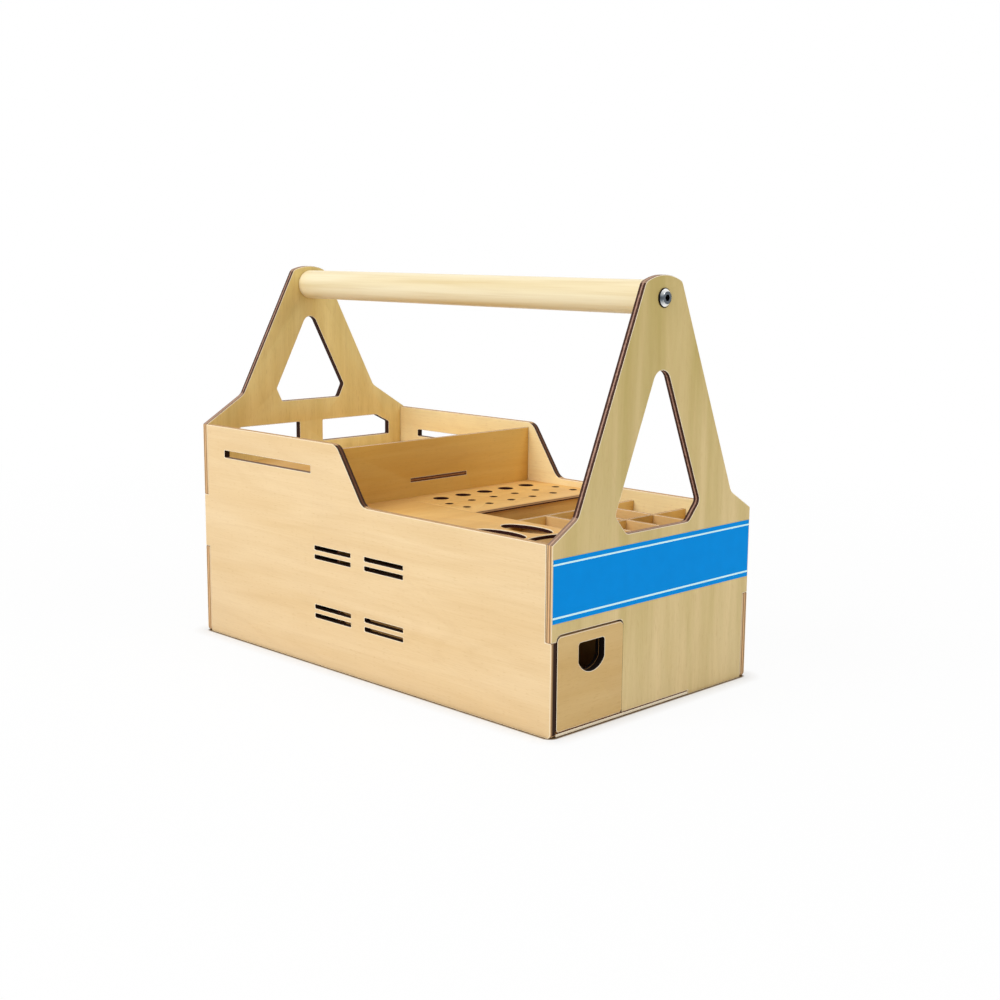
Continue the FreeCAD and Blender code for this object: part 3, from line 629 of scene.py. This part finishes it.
def washers(finish):
    """Flat washers with rolled rims under the screw heads."""
    low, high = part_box("handle_washers")
    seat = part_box("near_end_panel")[1].x
    outer = (high.z - low.z) / 2
    inner = screw_shank_radius + washer_gap
    mesh = turned([(seat, inner), (seat, outer), (high.x, outer), (high.x, inner)], closed=True)
    break_edges(mesh, washer_arris)
    other_end(mesh)
    finished("handle_flat_washers", mesh, finish, ["handle_washers"])


def button_head(seat, top, rim_radius):
    """A button head's outline, from the edge of its flat top over the dome to the rim and underside."""
    height = top - seat
    gap = rim_radius ** 2 - screw_flat_radius ** 2
    ball_drop = (gap + screw_rim ** 2 - height ** 2) / (2 * (height - screw_rim))
    ball_radius = math.hypot(rim_radius, screw_rim + ball_drop)
    start = math.atan2(height + ball_drop, screw_flat_radius)
    stop = math.atan2(screw_rim + ball_drop, rim_radius)
    outline = []
    for step in range(dome_steps + 1):
        angle = start + (stop - start) * step / dome_steps
        outline.append((seat - ball_drop + ball_radius * math.sin(angle), ball_radius * math.cos(angle)))
    return outline + [(seat + screw_rim_round, rim_radius), (seat, rim_radius - screw_rim_round)]


def screws(finish):
    """Button-head screws: a domed head with a hexagon socket, on a plain shank."""
    low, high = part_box("handle_screws")
    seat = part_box("handle_washers")[1].x
    tip = seat - screw_length
    profile = button_head(seat, high.x, (high.z - low.z) / 2)
    profile += [(seat, screw_shank_radius), (tip + screw_rim_round, screw_shank_radius),
                (tip, screw_shank_radius - screw_rim_round), (tip, 0)]
    mesh = turned(profile, closed=False)
    rim = [edge for edge in mesh.edges if edge.is_boundary]
    hexagon = bmesh.ops.create_circle(mesh, segments=6, radius=socket_flats / math.sqrt(3),
                                      matrix=Matrix.Translation((high.x, 0, handle_height))
                                      @ Matrix.Rotation(math.pi / 2, 4, "Y"))["verts"]
    sides = list({edge for vert in hexagon for edge in vert.link_edges})
    bmesh.ops.subdivide_edges(mesh, edges=sides, cuts=turning_steps // 6 - 1)
    socket = [edge for edge in mesh.edges if edge.is_wire]
    bmesh.ops.bridge_loops(mesh, edges=rim + socket)
    walls = bmesh.ops.extrude_edge_only(mesh, edges=socket)["geom"]
    foot = [item for item in walls if isinstance(item, bmesh.types.BMVert)]
    bmesh.ops.translate(mesh, vec=(-socket_depth, 0, 0), verts=foot)
    foot_rim = [item for item in walls if isinstance(item, bmesh.types.BMEdge) and item.is_boundary]
    cap = bmesh.ops.contextual_create(mesh, geom=foot_rim)["faces"]
    point = bmesh.ops.poke(mesh, faces=cap)["verts"]
    bmesh.ops.translate(mesh, vec=(-socket_floor_drop, 0, 0), verts=point)
    # Marks the socket's faces for a painted shade
    socket_painted_shade = mesh.faces.layers.float.new("socket_painted_shade")
    for face in mesh.faces:
        if any(vert in foot or vert in point for vert in face.verts):
            face[socket_painted_shade] = 1.0
    bmesh.ops.recalc_face_normals(mesh, faces=mesh.faces)
    other_end(mesh)
    finished("handle_button_screws", mesh, finish, ["handle_screws"])


def inserts(finish):
    """Threaded sleeves in the ends of the handle."""
    mesh = merged("handle_inserts")
    break_edges(mesh, sleeve_arris)
    finished("handle_sleeves", mesh, finish, ["handle_inserts"])


def shown(tree):
    """1 for what the camera sees, also in reflections and through glass, and 0 for light on the tote."""
    path = add(tree, "LightPath")
    seen = add(tree, "Math", {0: path.outputs["Is Camera Ray"], 1: path.outputs["Is Glossy Ray"]},
               operation="MAXIMUM").outputs[0]
    return add(tree, "Math", {0: seen, 1: path.outputs["Is Transmission Ray"]},
               operation="MAXIMUM").outputs[0]


def studio_floor():
    """A matt floor, white to the camera and in reflections, with a painted dark contact line and a shadow at
    the tote.
    """
    material, tree, output = new_material("White studio floor")
    seen = shown(tree)
    place = add(tree, "VectorMath", {0: add(tree, "TexCoord").outputs["Object"]}, operation="ABSOLUTE")
    foot = (end_x - base_corner, side_y - base_corner, 0)
    aside = add(tree, "VectorMath", {0: place.outputs["Vector"], 1: foot}, operation="SUBTRACT")
    aside = add(tree, "VectorMath", {0: aside.outputs["Vector"], 1: (0, 0, 0)}, operation="MAXIMUM")
    reach = add(tree, "VectorMath", {0: aside.outputs["Vector"]}, operation="LENGTH").outputs["Value"]
    away = add(tree, "Math", {0: reach, 1: base_corner}, operation="SUBTRACT").outputs[0]
    clear = add(tree, "MapRange", {"Value": away, "From Min": contact_line[0],
                                   "From Max": contact_line[1]}).outputs[0]
    touch = add(tree, "Math", {0: clear, 1: contact_glow}, operation="MULTIPLY").outputs[0]
    near = add(tree, "MapRange", {"Value": away, "From Min": near_shadow[0], "From Max": near_shadow[1],
                                  "To Max": near_glow}).outputs[0]
    far = add(tree, "MapRange", {"Value": away, "From Min": far_shadow[0], "From Max": far_shadow[1],
                                 "To Max": far_glow}).outputs[0]
    white = add(tree, "Math", {0: touch, 1: near}, operation="ADD").outputs[0]
    white = add(tree, "Math", {0: white, 1: far}, operation="ADD").outputs[0]
    share = add(tree, "Math", {0: seen, 1: white}, operation="MULTIPLY").outputs[0]
    # Right at the foot the paint turns brown: painted contact shade
    tone = add(tree, "Mix", {FACTOR: clear, FIRST: linear("#866E4C"), SECOND: linear("#F2F2F2")},
               data_type="RGBA").outputs[MIXED]
    paint = add(tree, "BsdfDiffuse", {"Color": tone})
    glow = add(tree, "Emission", {"Color": linear("#FFFFFF"), "Strength": 1.0})
    both = add(tree, "MixShader", {0: share, 1: paint.outputs[0], 2: glow.outputs[0]})
    tree.links.new(both.outputs[0], output.inputs["Surface"])
    mesh = bmesh.new()
    bmesh.ops.create_grid(mesh, x_segments=1, y_segments=1, size=floor_reach)
    data = bpy.data.meshes.new("floor")
    mesh.to_mesh(data)
    mesh.free()
    data.materials.append(material)
    floor = bpy.data.objects.new("floor", data)
    bpy.context.scene.collection.objects.link(floor)


def studio_world():
    """White all round for the camera and for reflections, and a softer even light on the wood."""
    world = bpy.data.worlds.new("Studio")
    bpy.context.scene.world = world
    world.use_nodes = True
    tree = world.node_tree
    tree.nodes.clear()
    seen = shown(tree)
    soft = add(tree, "Background", {"Color": linear("#FFFFFF"), "Strength": ambient_strength})
    white = add(tree, "Background", {"Color": linear("#FFFFFF"), "Strength": 1.0})
    both = add(tree, "MixShader", {0: seen, 1: soft.outputs[0], 2: white.outputs[0]})
    tree.links.new(both.outputs[0], add(tree, "OutputWorld").inputs["Surface"])


def softbox(name, place, width, power):
    """A large square lamp turned towards the tote."""
    lamp = bpy.data.lights.new(name, "AREA")
    lamp.shape = "SQUARE"
    lamp.size = width
    lamp.energy = power
    fixture = bpy.data.objects.new(name, lamp)
    fixture.location = place
    fixture.rotation_euler = (lamp_aim - Vector(place)).to_track_quat("-Z", "Y").to_euler()
    bpy.context.scene.collection.objects.link(fixture)


def photographers_camera():
    """The camera looks at the drawer corner from a little above the handle."""
    level = math.cos(camera_tilt)
    back = Vector((math.sin(camera_turn) * level, -math.cos(camera_turn) * level, math.sin(camera_tilt)))
    right = Vector((math.cos(camera_turn), math.sin(camera_turn), 0))
    stance = Matrix((right, back.cross(right), back)).transposed() @ Matrix.Rotation(camera_roll, 3, "Z")
    lens = bpy.data.cameras.new("camera")
    lens.lens = camera_lens
    lens.sensor_width = sensor_width
    lens.sensor_fit = "HORIZONTAL"
    camera = bpy.data.objects.new("camera", lens)
    camera.matrix_world = Matrix.Translation(camera_place) @ stance.to_4x4()
    bpy.context.scene.collection.objects.link(camera)
    bpy.context.scene.camera = camera


handle_low, handle_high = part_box("handle_dowel")
handle_height = (handle_low.z + handle_high.z) / 2
end_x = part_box("near_end_panel")[1].x
side_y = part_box("far_side_panel")[1].y
seam_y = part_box("drawer_front")[1].y
deck_end_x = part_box("tool_deck")[1].x + skin

# Sheets whose edges differ: in the size of the arris, with singed shoulders, with burned level edges, with a
# light upper half, and with holes painted black inside, a sooty colour with painted shade for the dark in the
# holes
arrises = {"floor_panel": scorched_and_shaded_arris, "cup_shelf": cup_arris, "tool_deck": tool_arris}
end_frames = ("near_end_panel", "far_end_panel")
burned_tops = ("near_end_panel", "far_end_panel", "drawer_inner_front")
decks = ("tool_deck", "cup_shelf")
holes_in_painted_shade = ("far_end_panel", "near_side_panel", "far_side_panel", "drawer_front", "drawer_inner_front",
               *decks)

# The inside veneers of the long walls and end frames are lighter than their outsides, partly painted light
# for the brighter inner faces
wall_ply = plywood("Birch plywood, long walls", "x",
                   outside=("#EBD0A4", "#E2C392"), inside=("#F8E6B4", "#F2DCA4"),
                   ring="#C49A62", char="#40281A", core="#66422E", soot_and_shade="#2A1406")
end_ply = plywood("Birch plywood, end frames", "z",
                  outside=("#EDD4A1", "#C2AD6A"), inside=("#FFEAA6", "#DCC27A"),
                  ring="#BE9A60", char="#40251A", core="#B08A78", soot_and_shade="#331A0F", upward_shade=1.4)
front_ply = plywood("Birch plywood, drawer front", "y",
                    outside=("#DDBD82", "#D3AE6F"), inside=("#DDBD82", "#D3AE6F"),
                    ring="#BC9050", char="#33190E", core="#5A3A28", soot_and_shade="#100604")
cross_ply = plywood("Birch plywood, cross walls", "y",
                    outside=("#E6BF74", "#DCAE5C"), inside=("#DCB05C", "#CF9C44"),
                    ring="#B07C3C", char="#582A14", core="#78421F", soot_and_shade="#3A180C")
deck_ply = plywood("Birch plywood, decks", "y",
                   outside=("#E7BA71", "#DCAA5F"), inside=("#E7BA71", "#DCAA5F"),
                   ring="#BC8C4C", char="#5C3016", core="#A87848", soot_and_shade="#32100A")
box_ply = plywood("Birch plywood, drawer box", "y",
                  outside=("#C99C60", "#BC8C50"), inside=("#C99C60", "#BC8C50"),
                  ring="#96703A", char="#40200F", core="#7A4C2C", soot_and_shade="#100604")
long_ply = plywood("Birch plywood, thin walls", "x",
                   outside=("#E3BE84", "#D8AD6C"), inside=("#E3BE84", "#D8AD6C"),
                   ring="#B88A4C", char="#5C3016", core="#946038", soot_and_shade="#3A180C")

# Each sheet with the axis it is square to, its finish and its material slot
thick = "plywood"
thin = "thin_plywood"
for node, square_to, finish, slot in (
    ("near_end_panel", "x", end_ply, thick),
    ("far_end_panel", "x", end_ply, thick),
    ("near_side_panel", "y", wall_ply, thick),
    ("far_side_panel", "y", wall_ply, thick),
    ("floor_panel", "z", long_ply, thin),
    ("cross_divider", "x", cross_ply, thin),
    ("tool_deck", "z", deck_ply, thin),
    ("cup_shelf", "z", deck_ply, thin),
    ("rear_shelf", "z", deck_ply, thin),
    ("tunnel_wall", "y", long_ply, thin),
    ("tunnel_roof", "z", long_ply, thin),
    ("cup_cross_wall", "x", cross_ply, thin),
    ("tray_cross_wall", "x", cross_ply, thin),
    ("tray_floor", "z", long_ply, thin),
    ("tray_cross_divider_1", "x", cross_ply, thin),
    ("tray_cross_divider_2", "x", cross_ply, thin),
    ("tray_long_divider_1", "y", long_ply, thin),
    ("tray_long_divider_2", "y", long_ply, thin),
    ("tray_long_divider_3", "y", long_ply, thin),
    ("drawer_front", "x", front_ply, thick),
    ("drawer_inner_front", "x", box_ply, thin),
    ("drawer_back", "x", box_ply, thin),
    ("drawer_outer_side", "y", box_ply, thin),
    ("drawer_inner_side", "y", box_ply, thin),
    ("drawer_floor", "z", box_ply, thin),
):
    sheet(node, square_to, finish, slot)

# The washers are near black, and draw a thin dark ring round each plated screw head
dowel(turned_dowel())
washers(steel("Dark steel, painted reflections", "#141210", "#241E1A", "#3A322C"))
screws(steel("Plated steel, painted reflections", "#202122", "#6A727A", "#F4F4F2"))
inserts(machined_brass())
frame["nodes"]["end_band"].data.materials.clear()
frame["nodes"]["end_band"].data.materials.append(printed_film())

studio_world()
studio_floor()
for name, (place, width, power) in lamps.items():
    softbox(name, place, width, power)
photographers_camera()
bpy.context.scene.view_settings.view_transform = "Standard"
